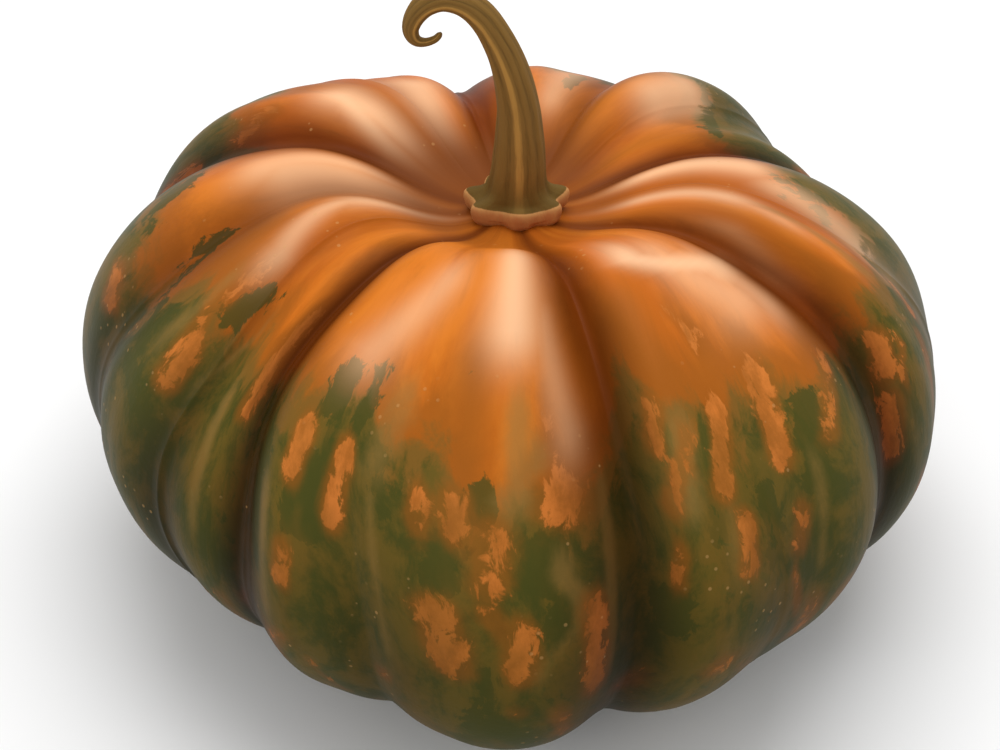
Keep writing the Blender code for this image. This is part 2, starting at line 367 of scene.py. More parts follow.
def stem_grid(ridge_scale, seat, middle):
    """The stem as a grid, columns round by rows from foot to tip.

    A section carried along the eased centre line. In the foot its radius is the row's radius by
    1 + depth * cos(lobes * angle); in the shaft it is the radius by 1 + the sum of rounded
    ridges exp(-(turn / half width) ** 2), which twist as they climb.
    Returns the points and, for every point, how tall its ridge is, its turn and climb along the
    twisted fibres, and its height above the seat.
    """
    rows = eased_path(np.array(STEM_STATIONS), STEM_ROWS_BETWEEN)
    x, rise, radius, foot = rows.T[:, None, :]
    tangent_x = np.gradient(x[0])
    tangent_z = np.gradient(rise[0])
    level = foot[0] > 0.02
    tangent_x[level] = 0.0
    tangent_z[level] = 1.0
    size = np.hypot(tangent_x, tangent_z)
    tangent_x, tangent_z = tangent_x / size, tangent_z / size
    step = np.hypot(np.diff(x[0]), np.diff(rise[0]))
    length = np.concatenate([[0.0], np.cumsum(step)])[None, :]
    share = length / length[0, -1]

    angle = np.linspace(-180.0, 180.0, STEM_COLUMNS, endpoint=False)[:, None]
    climbed = angle - STEM_TWIST * share
    ridge = np.zeros((STEM_COLUMNS, rows.shape[0]))
    for centre, half_width, tall in STEM_RIDGES:
        ridge = ridge + tall * np.exp(-(turn_between(climbed, centre) / half_width) ** 2)
    lobe = np.cos(np.radians(FOOT_LOBES * (angle - FOOT_LOBE_START)))
    uneven = waves(np.radians(angle), share * 4.0, 21, 6, 2, 5, 1.0)
    foot_reach = 1.0 + FOOT_LOBE_DEPTH * (lobe + 0.35 * uneven)
    grain = waves(np.radians(climbed), share * 60.0, 33, 10, 8, 22, 1.2)
    shaft_reach = SHAFT_FURROW + ridge_scale * ridge + SHAFT_GRAIN * grain
    foot = np.clip(foot, 0.0, 1.0)
    reach = radius * (foot_reach * foot + shaft_reach * (1.0 - foot))
    squash = 1.0 - (1.0 - FOOT_SQUASH) * foot
    sideways = reach * np.cos(np.radians(angle))
    points = np.stack([
        middle[0] + x + tangent_z * sideways,
        middle[1] + reach * squash * np.sin(np.radians(angle)) + 0.0 * x,
        seat + rise - tangent_x * sideways + FOOT_LOBE_LIFT * lobe * foot * (rise > 0.001),
    ], axis=-1)
    shape = points.shape[:2]
    maps = {
        "ridge": np.broadcast_to(ridge / TALLEST_RIDGE, shape),
        "climb": np.broadcast_to(share, shape),
        "turn": np.broadcast_to(climbed, shape),
        "rise": np.broadcast_to(rise, shape),
    }
    return points, maps


# ---------------------------------------------------------------- where the rind's colours lie

# Where orange gives way to green: degrees round from the front, polar angle, and over how many
# degrees the change is spread.
GREEN_LINE = (
    (-180.0, 45.0, 24.0), (-150.0, 42.0, 24.0), (-116.0, 43.0, 24.0), (-100.0, 47.0, 30.0),
    (-90.0, 53.0, 34.0), (-80.0, 53.0, 34.0), (-72.0, 50.0, 34.0), (-62.0, 46.0, 34.0),
    (-50.0, 49.0, 36.0), (-40.0, 53.0, 36.0), (-30.0, 50.0, 26.0), (-24.0, 47.0, 18.0),
    (-18.0, 46.0, 18.0), (-13.0, 50.0, 30.0), (-6.0, 54.0, 26.0), (2.0, 55.0, 22.0),
    (9.0, 56.0, 26.0), (15.0, 53.0, 34.0), (20.0, 45.5, 40.0), (28.0, 46.0, 42.0),
    (40.0, 49.0, 40.0), (48.0, 54.0, 26.0), (57.0, 52.0, 24.0), (63.0, 57.0, 30.0),
    (70.0, 56.0, 30.0), (80.0, 56.0, 30.0), (90.0, 52.0, 28.0), (100.0, 43.0, 24.0),
    (112.0, 38.0, 24.0), (125.0, 35.0, 24.0), (133.0, 36.0, 22.0), (141.0, 40.0, 22.0),
    (152.0, 42.0, 24.0), (163.0, 37.0, 20.0), (172.0, 42.0, 24.0), (180.0, 45.0, 24.0),
)

# How far each kind of mark fades past its ends, in degrees.
ORANGE_END_FADE = 3.5
GREEN_END_FADE = 2.5
BURNT_END_FADE = 6.0
TAN_AND_SHEEN_END_FADE = 5.0
PAINTED_HIGHLIGHT_END_FADE = 5.0
DARKEST_GROOVE_DEPTH = 0.0095   # metres; a groove this deep gets the darkest painted shade

# Streaks run down the ribs: degrees round and polar angle at the upper and lower end, half
# width in degrees, and strength.
ORANGE_STREAKS = (
    (8.0, 55.5, 8.0, 57.5, 3.2, 0.95), (6.5, 42.0, 7.5, 52.0, 1.4, 0.55),
    (-4.0, 57.5, -4.0, 59.5, 1.9, 1.0), (-8.0, 58.0, -8.0, 59.5, 1.5, 0.85),
    (-0.3, 61.5, -0.6, 67.5, 2.5, 0.78), (-7.0, 75.0, -5.6, 83.5, 3.0, 0.90),
    (-1.0, 74.0, 1.0, 77.0, 1.8, 0.62), (2.2, 77.0, 2.0, 83.5, 1.9, 0.95),
    (10.4, 75.5, 11.0, 91.0, 1.7, 0.95), (-18.6, 55.0, -19.8, 64.5, 1.7, 1.0),
    (-25.6, 54.5, -26.4, 59.5, 1.8, 1.0), (-27.4, 74.5, -28.0, 78.0, 1.7, 0.85),
    (-43.0, 39.5, -44.5, 58.0, 3.0, 0.80), (-67.2, 54.5, -66.6, 61.0, 2.6, 0.95),
    (-69.0, 48.5, -68.5, 50.5, 1.8, 0.68), (-90.0, 62.5, -88.0, 64.5, 2.6, 0.90),
    (-66.0, 36.0, -68.0, 44.0, 2.4, 0.66),
    (44.8, 47.5, 42.2, 60.0, 1.9, 1.0), (36.2, 49.5, 31.4, 59.5, 2.4, 1.0),
    (32.8, 68.0, 31.4, 74.5, 2.0, 0.90), (23.7, 46.5, 22.3, 50.5, 1.8, 0.95),
    (28.0, 52.0, 25.6, 54.5, 2.5, 0.68), (24.0, 57.5, 22.4, 60.0, 1.9, 0.76),
    (22.0, 70.0, 21.2, 73.0, 1.2, 0.66), (57.0, 53.0, 50.0, 61.5, 2.6, 0.64),
    (42.0, 71.5, 40.4, 77.0, 1.9, 0.62), (39.2, 83.0, 41.0, 95.0, 1.0, 0.60),
    (71.6, 61.5, 69.4, 66.0, 2.9, 0.95), (68.2, 73.0, 67.0, 81.0, 2.7, 0.95),
    (75.6, 65.5, 72.6, 68.5, 1.3, 0.80), (36.0, 34.0, 38.5, 38.0, 2.4, 0.60),
    (-119.0, 37.0, -113.0, 43.0, 3.0, 0.8), (84.0, 70.0, 82.0, 82.0, 2.0, 0.6),
    (90.0, 58.0, 88.0, 66.0, 2.0, 0.5),
)
GREEN_PATCHES = (
    (-64.5, 46.0, -61.5, 40.0, 3.2, 0.95), (-74.0, 66.0, -64.0, 72.0, 5.0, 0.9),
    (-66.0, 57.0, -63.0, 62.0, 2.4, 0.8), (-22.0, 42.5, -23.5, 49.5, 3.0, 0.9),
    (-16.8, 41.0, -18.0, 49.5, 2.0, 0.85), (-23.0, 58.0, -25.0, 69.0, 3.4, 1.0),
    (-1.0, 55.5, -1.0, 58.0, 1.8, 1.0),
    (-5.0, 63.0, -6.0, 69.0, 2.7, 1.0), (5.2, 62.5, 4.6, 68.5, 2.8, 0.95),
    (7.2, 72.0, 5.8, 77.5, 2.4, 0.9), (20.0, 76.5, 20.4, 83.0, 3.2, 0.85),
    (48.6, 55.5, 45.4, 68.0, 3.1, 1.0), (140.0, 42.0, 124.0, 36.0, 5.0, 0.8),
    (163.0, 28.0, 163.0, 35.0, 3.0, 0.8), (29.0, 60.0, 28.0, 68.0, 1.8, 0.7),
    (-13.0, 54.0, -13.0, 62.0, 2.0, 0.6), (38.0, 64.0, 36.0, 76.0, 2.6, 0.8),
    (-33.0, 58.0, -33.0, 72.0, 2.4, 0.8), (-79.0, 54.0, -75.0, 62.0, 2.2, 0.7),
    (-1.6, 85.0, -2.0, 94.0, 2.0, 0.7), (61.0, 62.0, 58.0, 74.0, 2.4, 0.8),
    (73.0, 72.0, 73.0, 86.0, 2.4, 0.8), (-98.0, 44.0, -94.0, 52.0, 3.4, 0.7),
    (-84.0, 40.0, -82.0, 50.0, 3.0, 0.56), (100.0, 36.0, 98.0, 44.0, 5.0, 0.6),
)
# Painted highlights: pale peach laid on the shoulders of the ribs, where the light from overhead
# would shine.
PAINTED_HIGHLIGHT_SPOTS = (
    (2.0, 20.0, 2.0, 32.0, 4.6, 1.0), (7.0, 32.0, 9.5, 47.0, 2.2, 0.55),
    (-88.0, 13.0, -90.0, 27.0, 8.0, 0.85), (-73.0, 11.0, -75.0, 18.0, 6.0, 0.8),
    (-127.0, 15.0, -128.0, 25.0, 8.0, 0.9), (84.0, 15.0, 85.0, 26.0, 5.0, 0.8),
    (44.0, 25.0, 51.0, 37.0, 6.0, 0.6),
    (-14.0, 26.0, -21.0, 39.0, 4.6, 0.55), (36.0, 23.0, 55.0, 31.0, 6.5, 1.0),
    (54.0, 31.0, 56.0, 40.0, 3.6, 0.6), (-147.0, 15.0, -152.0, 26.0, 7.0, 0.9),
    (-118.0, 15.0, -128.0, 25.0, 6.0, 1.0), (-96.0, 15.0, -93.0, 30.0, 5.0, 0.75),
    (-74.0, 20.0, -66.0, 34.0, 3.4, 0.65), (138.0, 28.0, 138.0, 36.0, 6.0, 0.95),
    (104.0, 15.0, 103.0, 31.0, 4.4, 0.9), (98.0, 36.0, 92.0, 58.0, 3.2, 0.8),
    (165.0, 22.0, 165.0, 34.0, 5.0, 0.7), (84.0, 24.0, 82.0, 34.0, 3.0, 0.4),
    (70.0, 30.0, 66.0, 40.0, 2.4, 0.35),
)
# Burnt orange shades, where the crown is browner than its neighbours.
BURNT_SPOTS = (
    (23.0, 32.0, 27.0, 46.0, 8.0, 1.0), (-3.5, 38.0, -3.0, 50.0, 3.4, 1.0),
    (12.0, 28.0, 17.0, 48.0, 4.0, 0.6), (-78.0, 34.0, -74.0, 46.0, 8.0, 1.0),
    (-38.0, 24.0, -38.0, 52.0, 6.0, 1.0), (76.0, 28.0, 74.0, 44.0, 5.0, 0.6),
    (60.0, 36.0, 58.0, 50.0, 4.5, 0.9), (-106.0, 16.0, -104.0, 34.0, 5.0, 0.9),
    (-136.0, 20.0, -134.0, 34.0, 4.0, 0.6), (112.0, 14.0, 110.0, 34.0, 4.0, 0.8),
    (150.0, 14.0, 150.0, 32.0, 6.0, 0.8), (-84.0, 24.0, -82.0, 34.0, 3.0, 0.6),
    (126.0, 16.0, 122.0, 34.0, 4.0, 0.7),
)
# Narrow paler lines and patches of olive tan on the flanks of the ribs: partly tan marks of the
# rind, partly painted highlights where light catches the edges of the lower ribs.
TAN_AND_SHEEN_LINES = (
    (3.0, 45.0, 3.0, 54.0, 1.8, 0.9), (13.0, 58.0, 12.5, 86.0, 0.9, 0.9),
    (-31.0, 66.0, -31.5, 86.0, 1.3, 0.7),
    (-52.0, 58.0, -50.0, 82.0, 1.8, 0.8), (-56.0, 46.0, -62.0, 58.0, 1.2, 0.5),
    (-14.0, 60.0, -14.0, 84.0, 0.9, 0.5), (46.0, 66.0, 44.0, 82.0, 1.2, 0.6),
    (29.0, 74.0, 28.0, 92.0, 1.2, 0.35), (70.0, 72.0, 74.0, 90.0, 2.0, 0.45),
    (9.0, 76.0, 4.0, 84.0, 1.6, 0.6), (2.0, 55.0, 5.0, 51.0, 2.2, 0.8),
    (27.0, 51.0, 24.5, 60.0, 3.0, 0.8), (31.0, 66.0, 29.0, 76.0, 2.0, 0.6),
    (-12.0, 44.0, -14.0, 54.0, 2.6, 0.7), (-70.0, 44.0, -72.0, 56.0, 2.0, 0.6),
    (86.0, 34.0, 84.0, 50.0, 2.6, 0.7), (7.0, 68.0, 9.0, 73.0, 1.6, 0.8),
)


def streak_field(longitude, polar, streaks, end_fade):
    """The strongest of many soft streaks, each strength * exp(-0.9 * distance ** 2), with the
    distance from the streak's line in half widths, and beyond its ends in end_fade degrees."""
    field = np.zeros(longitude.shape)
    for turn_a, polar_a, turn_b, polar_b, half_width, strength in streaks:
        along = (polar - polar_a) / (polar_b - polar_a)
        held = np.clip(along, 0.0, 1.0)
        line = turn_a + (turn_b - turn_a) * held
        sideways = turn_between(longitude, line) / half_width
        beyond = (along - held) * abs(polar_b - polar_a) / end_fade
        nearness = np.exp(-0.9 * (sideways ** 2 + beyond ** 2))
        field = np.maximum(field, strength * nearness)
    return field


def scattered_streaks(seed, count, polar_range, width_range, length_range):
    """Seeded streaks all round the fruit."""
    rng = np.random.default_rng(seed)
    turn = rng.uniform(-180.0, 180.0, count)
    start = rng.uniform(polar_range[0], polar_range[1], count)
    length = rng.uniform(length_range[0], length_range[1], count)
    width = rng.uniform(width_range[0], width_range[1], count)
    drift = rng.uniform(-3.0, 3.0, count)
    strength = rng.uniform(0.55, 1.0, count)
    return np.stack([turn, start, turn + drift, start + length, width, strength], axis=-1)


def hidden_share(longitude, polar):
    """1 on the back and underside, 0 on the front, where each streak has a row of its own."""
    around_back = smoothstep((np.abs(longitude) - 92.0) / 12.0)
    below = smoothstep((polar - 88.0) / 10.0)
    return np.maximum(around_back * smoothstep((polar - 46.0) / 8.0), below)


def colour_maps(maps):
    """Every painted value of the rind, 0 to 1, from longitude, polar angle and rib shape."""
    longitude = (maps["longitude"] + 180.0) % 360.0 - 180.0
    polar = np.degrees(maps["polar"])
    line = np.array(GREEN_LINE)
    green_line = np.interp(longitude, line[:, 0], line[:, 1])
    green_width = np.interp(longitude, line[:, 0], line[:, 2])
    wander = 4.0 * waves(np.radians(longitude), maps["polar"], 12, 16, 6, 40, 6.0)
    green = smoothstep((polar - green_line + wander) / green_width + 0.5)
    hidden = hidden_share(longitude, polar)
    far_orange = scattered_streaks(41, 120, (50.0, 118.0), (1.2, 3.2), (5.0, 18.0))
    far_green = scattered_streaks(43, 110, (38.0, 110.0), (1.8, 4.4), (6.0, 16.0))
    orange = streak_field(longitude, polar, ORANGE_STREAKS, ORANGE_END_FADE)
    orange = np.maximum(
        orange, hidden * streak_field(longitude, polar, far_orange, ORANGE_END_FADE))
    orange *= 1.0 - 0.35 * smoothstep((polar - 86.0) / 14.0)
    dark = streak_field(longitude, polar, GREEN_PATCHES, GREEN_END_FADE)
    dark = np.maximum(dark, hidden * streak_field(longitude, polar, far_green, GREEN_END_FADE))
    burnt = streak_field(longitude, polar, BURNT_SPOTS, BURNT_END_FADE)
    # Tan marks and painted highlights on the rib edges.
    tan = streak_field(longitude, polar, TAN_AND_SHEEN_LINES, TAN_AND_SHEEN_END_FADE)
    # Painted highlights on the rib shoulders.
    painted_highlight = streak_field(longitude, polar, PAINTED_HIGHLIGHT_SPOTS, PAINTED_HIGHLIGHT_END_FADE)

    # Painted shade in the grooves: as dark as they are deep, and widest towards the crown.
    near_crown = 1.0 - smoothstep((polar - 18.0) / 38.0)
    depth = maps["strength"] * (1.0 + 0.05 * near_crown) / DARKEST_GROOVE_DEPTH
    start = 0.12 - 0.22 * near_crown
    painted_groove_shade = np.clip(depth, 0.0, 1.15) * smoothstep((maps["from_crest"] - start) / (1.0 - start))

    # Painted shade in the hollow: a narrow dark brown collar round the stem, reaching further out
    # towards the back, where the stem shades the rind.
    to_back = 0.5 - 0.5 * np.cos(np.radians(longitude - 20.0))
    crown_reach = 4.0 + 9.0 * to_back
    crown = (0.30 + 0.70 * to_back) * (1.0 - smoothstep((polar - 9.0) / crown_reach))
    collar = 1.0 - smoothstep((polar - 7.5) / 3.5)
    crown = np.maximum(crown, (0.35 + 0.60 * to_back) * collar)

    # Painted shade: darker towards the underside.
    low = smoothstep((polar - 60.0) / 36.0)
    scar = 1.0 - smoothstep((180.0 - polar - 5.0) / 2.0)
    textured = smoothstep((polar - 16.0) / 34.0)
    return {"green": green, "orange": orange, "dark": dark, "painted_highlight": painted_highlight,
            "burnt": burnt, "tan": tan, "painted_groove_shade": painted_groove_shade, "crown": crown, "low": low,
            "scar": scar, "textured": textured}


# ---------------------------------------------------------------- shader helpers

def new_material(name):
    """A material with an empty node tree but for its output and a Principled shader."""
    material = bpy.data.materials.new(name)
    material.use_nodes = True
    tree = material.node_tree
    tree.nodes.clear()
    shader = tree.nodes.new("ShaderNodeBsdfPrincipled")
    output = tree.nodes.new("ShaderNodeOutputMaterial")
    tree.links.new(shader.outputs["BSDF"], output.inputs["Surface"])
    return material, tree, shader


def feed(tree, socket, value):
    """Link an output socket, or set a plain value."""
    if isinstance(value, bpy.types.NodeSocket):
        tree.links.new(value, socket)
    elif value is not None:
        socket.default_value = value


def layer_value(tree, name, kind="Fac"):
    """Read a stored point value of the mesh."""
    node = tree.nodes.new("ShaderNodeAttribute")
    node.attribute_name = name
    return node.outputs[kind]


def maths(tree, operation, first, second=None, third=None):
    """One Math node."""
    node = tree.nodes.new("ShaderNodeMath")
    node.operation = operation
    for socket, value in zip(node.inputs, (first, second, third)):
        feed(tree, socket, value)
    return node.outputs[0]


def blend_colour(tree, share, first, second, kind="MIX"):
    """Mix two colours by a share from 0 to 1."""
    node = tree.nodes.new("ShaderNodeMix")
    node.data_type = "RGBA"
    node.blend_type = kind
    node.clamp_factor = True
    feed(tree, node.inputs["Factor"], share)
    feed(tree, node.inputs["A"], first)
    feed(tree, node.inputs["B"], second)
    return node.outputs["Result"]


def stretch_range(tree, value, low, high, to_low=0.0, to_high=1.0):
    """Map low..high to to_low..to_high, smoothly and held at the ends."""
    node = tree.nodes.new("ShaderNodeMapRange")
    node.interpolation_type = "SMOOTHSTEP"
    for name, item in (("Value", value), ("From Min", low), ("From Max", high),
                       ("To Min", to_low), ("To Max", to_high)):
        feed(tree, node.inputs[name], item)
    return node.outputs["Result"]


def cloud(tree, vector, scale, detail=4.0, roughness=0.55, distortion=0.0):
    """Noise from 0 to 1 over the vector."""
    node = tree.nodes.new("ShaderNodeTexNoise")
    node.noise_dimensions = "3D"
    for name, item in (("Vector", vector), ("Scale", scale), ("Detail", detail),
                       ("Roughness", roughness), ("Distortion", distortion)):
        feed(tree, node.inputs[name], item)
    return node.outputs["Fac"]


def scaled(tree, vector, factors):
    """Stretch a vector by three factors."""
    node = tree.nodes.new("ShaderNodeVectorMath")
    node.operation = "MULTIPLY"
    feed(tree, node.inputs[0], vector)
    node.inputs[1].default_value = factors
    return node.outputs["Vector"]


def bumped(tree, height, distance, strength):
    """A Bump node's normal."""
    node = tree.nodes.new("ShaderNodeBump")
    node.inputs["Distance"].default_value = distance
    node.inputs["Strength"].default_value = strength
    feed(tree, node.inputs["Height"], height)
    return node.outputs["Normal"]


def ragged_edge_group():
    """Shared group: turns a soft painted value into a patch with ragged, noisy edges."""
    name = "Ragged patch edge"
    if name in bpy.data.node_groups:
        return bpy.data.node_groups[name]
    group = bpy.data.node_groups.new(name, "ShaderNodeTree")
    sockets = (("Soft value", "NodeSocketFloat", 0.0), ("Growth", "NodeSocketVector", None),
               ("Grain scale", "NodeSocketFloat", 20.0), ("Raggedness", "NodeSocketFloat", 0.5),
               ("Edge at", "NodeSocketFloat", 0.5), ("Edge softness", "NodeSocketFloat", 0.08))
    for label, kind, default in sockets:
        socket = group.interface.new_socket(name=label, in_out="INPUT", socket_type=kind)
        if default is not None:
            socket.default_value = default
    group.interface.new_socket(name="Patch", in_out="OUTPUT", socket_type="NodeSocketFloat")
    into = group.nodes.new("NodeGroupInput")
    out = group.nodes.new("NodeGroupOutput")
    coarse = cloud(group, into.outputs["Growth"], into.outputs["Grain scale"], 7.0, 0.68, 0.6)
    centred = maths(group, "SUBTRACT", coarse, 0.5)
    moved = maths(group, "MULTIPLY_ADD", centred, into.outputs["Raggedness"],
                  into.outputs["Soft value"])
    low = maths(group, "SUBTRACT", into.outputs["Edge at"], into.outputs["Edge softness"])
    high = maths(group, "ADD", into.outputs["Edge at"], into.outputs["Edge softness"])
    feed(group, out.inputs["Patch"], stretch_range(group, moved, low, high))
    return group


def ragged(tree, value, growth, scale, raggedness, edge, softness):
    """Place the shared ragged edge group with its own values."""
    node = tree.nodes.new("ShaderNodeGroup")
    node.node_tree = ragged_edge_group()
    for label, item in (("Soft value", value), ("Growth", growth), ("Grain scale", scale),
                        ("Raggedness", raggedness), ("Edge at", edge),
                        ("Edge softness", softness)):
        feed(tree, node.inputs[label], item)
    return node.outputs["Patch"]


# ---------------------------------------------------------------- materials

LOW_SHADE = (0.58, 0.60, 0.42, 1.0)       # painted shade: what is left of each colour low on the fruit
GROOVE_SHADE = (0.30, 0.22, 0.16, 1.0)    # and at the bottom of a deep groove, also painted shade
SPECK_SCALE = 230.0                       # cells to the metre
PORE_SCALE = 520.0


def skin_material(settings):
    """The waxy rind: orange crown, ragged olive and dark green below, orange streaks, painted
    shade in the grooves, round the stem and low down, painted pale highlights on the shoulders and
    a few corky specks."""
    material, tree, shader = new_material("pumpkin_skin")
    growth = layer_value(tree, "growth", "Vector")
    place = tree.nodes.new("ShaderNodeTexCoord").outputs["Object"]
    green, dark = layer_value(tree, "green"), layer_value(tree, "dark")
    orange, painted_highlight = layer_value(tree, "orange"), layer_value(tree, "painted_highlight")
    painted_groove_shade, crown, scar = (layer_value(tree, name) for name in ("painted_groove_shade", "crown", "scar"))

    drift = cloud(tree, growth, 3.2, 5.0, 0.6, 0.4)
    colour = blend_colour(tree, stretch_range(tree, drift, 0.36, 0.64),
                          settings.orange_deep, settings.orange)
    colour = blend_colour(tree, maths(tree, "MULTIPLY", layer_value(tree, "burnt"), 0.85),
                          colour, settings.burnt_orange)
    browned = ragged(tree, green, growth, 6.0, 0.70, 0.10, 0.16)
    colour = blend_colour(tree, maths(tree, "MULTIPLY", browned, 0.8), colour,
                          settings.burnt_orange)
    turning = ragged(tree, green, growth, 9.0, 1.10, 0.45, 0.14)
    colour = blend_colour(tree, turning, colour, settings.olive_brown)
    greened = ragged(tree, green, growth, 13.0, 1.45, 0.68, 0.12)
    tone = stretch_range(tree, cloud(tree, growth, 8.0, 8.0, 0.70, 0.4), 0.40, 0.60)
    leaf = blend_colour(tree, tone, settings.green_dark, settings.green)
    colour = blend_colour(tree, greened, colour, leaf)
    patch = ragged(tree, dark, growth, 22.0, 2.2, 0.50, 0.07)
    colour = blend_colour(tree, maths(tree, "MULTIPLY", patch, 0.85), colour,
                          settings.green_dark)
    # Olive tan lines: partly tan marks, partly painted highlights on the lit edges of the ribs.
    tan = ragged(tree, layer_value(tree, "tan"), growth, 12.0, 0.8, 0.50, 0.40)
    colour = blend_colour(tree, maths(tree, "MULTIPLY", tan, 0.60), colour, settings.tan)
    tan_edge = ragged(tree, green, growth, 24.0, 1.25, 0.92, 0.05)
    tan_edge = maths(tree, "MULTIPLY", tan_edge,
                     stretch_range(tree, cloud(tree, growth, 4.0, 3.0), 0.52, 0.62))
    colour = blend_colour(tree, maths(tree, "MULTIPLY", tan_edge, 0.35), colour,
                          settings.olive_brown)
    glow = ragged(tree, orange, growth, 9.0, 0.8, 0.34, 0.26)
    colour = blend_colour(tree, maths(tree, "MULTIPLY", glow, 0.50), colour,
                          settings.burnt_orange)
    streak = ragged(tree, orange, growth, 24.0, 2.3, 0.62, 0.10)
    streak_tone = stretch_range(tree, cloud(tree, growth, 14.0, 6.0, 0.7), 0.35, 0.65)
    streak_colour = blend_colour(tree, streak_tone, settings.streak_deep, settings.streak)
    laid = stretch_range(tree, cloud(tree, growth, 5.0, 4.0), 0.38, 0.60, 0.50, 0.95)
    colour = blend_colour(tree, maths(tree, "MULTIPLY", streak, laid), colour, streak_colour)

    # Painted highlight: pale peach on the rib shoulders where the overhead light would shine,
    # fainter on the green.
    painted_highlight_share = maths(tree, "MULTIPLY", painted_highlight, settings.painted_highlight_strength)
    kept = stretch_range(tree, greened, 0.0, 1.0, 1.0, 0.35)
    colour = blend_colour(tree, maths(tree, "MULTIPLY", painted_highlight_share, kept), colour,
                          settings.painted_highlight_colour)
    # Painted shade low on the fruit.
    lowered = blend_colour(tree, 1.0, colour, LOW_SHADE, "MULTIPLY")
    colour = blend_colour(tree, layer_value(tree, "low"), colour, lowered)
    # Painted shade at the bottom of the grooves.
    shaded = blend_colour(tree, 1.0, colour, GROOVE_SHADE, "MULTIPLY")
    colour = blend_colour(tree, maths(tree, "MULTIPLY", painted_groove_shade, 0.95), colour, shaded)
    # Painted shade of the hollow round the stem.
    colour = blend_colour(tree, maths(tree, "MULTIPLY", crown, 0.95), colour,
                          settings.hollow_shade_colour)
    cells = tree.nodes.new("ShaderNodeTexVoronoi")
    feed(tree, cells.inputs["Vector"], place)
    cells.inputs["Scale"].default_value = SPECK_SCALE
    dot = stretch_range(tree, cells.outputs["Distance"], 0.10, 0.17, 1.0, 0.0)
    where = stretch_range(tree, cloud(tree, place, 34.0, 3.0), 0.55, 0.63)
    specks = maths(tree, "MULTIPLY", dot, where)
    colour = blend_colour(tree, maths(tree, "MULTIPLY", specks, 0.30), colour,
                          settings.speck_colour)
    colour = blend_colour(tree, scar, colour, settings.scar_colour)
    feed(tree, shader.inputs["Base Color"], colour)

    rubbed = cloud(tree, place, 60.0, 4.0)
    rough = maths(tree, "MULTIPLY_ADD", rubbed, 0.10, settings.roughness - 0.05)
    rough = maths(tree, "MULTIPLY_ADD", scar, 0.3, rough)
    feed(tree, shader.inputs["Roughness"], rough)
    shader.inputs["Specular IOR Level"].default_value = 0.35
    shader.inputs["IOR"].default_value = 1.16

    lines = cloud(tree, scaled(tree, growth, (30.0, 30.0, 3.0)), 1.0, 3.0)
    pores = cloud(tree, place, PORE_SCALE, 3.0)
    height = maths(tree, "MULTIPLY_ADD", lines, 0.7, maths(tree, "MULTIPLY", pores, 0.35))
    height = maths(tree, "MULTIPLY_ADD", specks, 0.5, height)
    height = maths(tree, "MULTIPLY_ADD", streak, 0.12, height)
    height = maths(tree, "MULTIPLY", height, layer_value(tree, "textured"))
    feed(tree, shader.inputs["Normal"], bumped(tree, height, 0.0006, 0.35))
    return material


def stem_material(settings):
    """Dry stem wood: gold along the ridges, dark in the furrows, olive towards the foot, and a
    tan rim."""
    material, tree, shader = new_material("stem_wood")
    ridge, rim = layer_value(tree, "ridge"), layer_value(tree, "rim")
    base, fibre = layer_value(tree, "base"), layer_value(tree, "fibre", "Vector")
    grain = cloud(tree, fibre, 9.0, 6.0, 0.62)
    fine = cloud(tree, scaled(tree, fibre, (5.0, 5.0, 1.0)), 9.0, 4.0, 0.6)
    share = maths(tree, "MULTIPLY_ADD", maths(tree, "SUBTRACT", grain, 0.5), 0.7, ridge)
    colour = blend_colour(tree, stretch_range(tree, share, 0.10, 0.50), settings.furrow,
                          settings.wood)
    colour = blend_colour(tree, stretch_range(tree, share, 0.62, 0.98), colour, settings.ridge)
    colour = blend_colour(tree, maths(tree, "MULTIPLY", base, 0.75), colour, settings.olive)
    worn = stretch_range(tree, fine, 0.58, 0.72, 0.0, 0.28)
    colour = blend_colour(tree, worn, colour, settings.furrow)
    cut = ragged(tree, rim, fibre, 10.0, 0.45, 0.50, 0.12)
    flesh_tone = maths(tree, "ADD", cloud(tree, fibre, 5.0, 5.0),
                       maths(tree, "MULTIPLY", layer_value(tree, "rim_top"), 0.22))
    flesh = blend_colour(tree, stretch_range(tree, flesh_tone, 0.38, 0.72),
                         settings.rim_deep, settings.rim)
    colour = blend_colour(tree, cut, colour, flesh)
    feed(tree, shader.inputs["Base Color"], colour)
    shader.inputs["IOR"].default_value = 1.25
    feed(tree, shader.inputs["Roughness"],
         maths(tree, "MULTIPLY_ADD", grain, 0.15, settings.roughness - 0.08))
    height = maths(tree, "MULTIPLY_ADD", fine, 0.6, grain)
    feed(tree, shader.inputs["Normal"], bumped(tree, height, 0.0005, 0.55))
    return material


def floor_material(settings):
    """Plain pale matt floor with the faintest cloudiness."""
    material, tree, shader = new_material("studio_floor")
    place = tree.nodes.new("ShaderNodeTexCoord").outputs["Object"]
    haze = stretch_range(tree, cloud(tree, place, 1.5, 2.0), 0.3, 0.7, 0.0, 0.03)
    feed(tree, shader.inputs["Base Color"],
         blend_colour(tree, haze, settings.floor_colour, (0.8, 0.8, 0.8, 1.0)))
    shader.inputs["Roughness"].default_value = 0.9
    shader.inputs["Specular IOR Level"].default_value = 0.1
    return material


# ---------------------------------------------------------------- settings

def colour_setting(name, description, value):
    """A colour with four parts."""
    return FloatVectorProperty(name=name, description=description, subtype="COLOR", size=4,
                               min=0.0, max=1.0, default=(*value, 1.0))


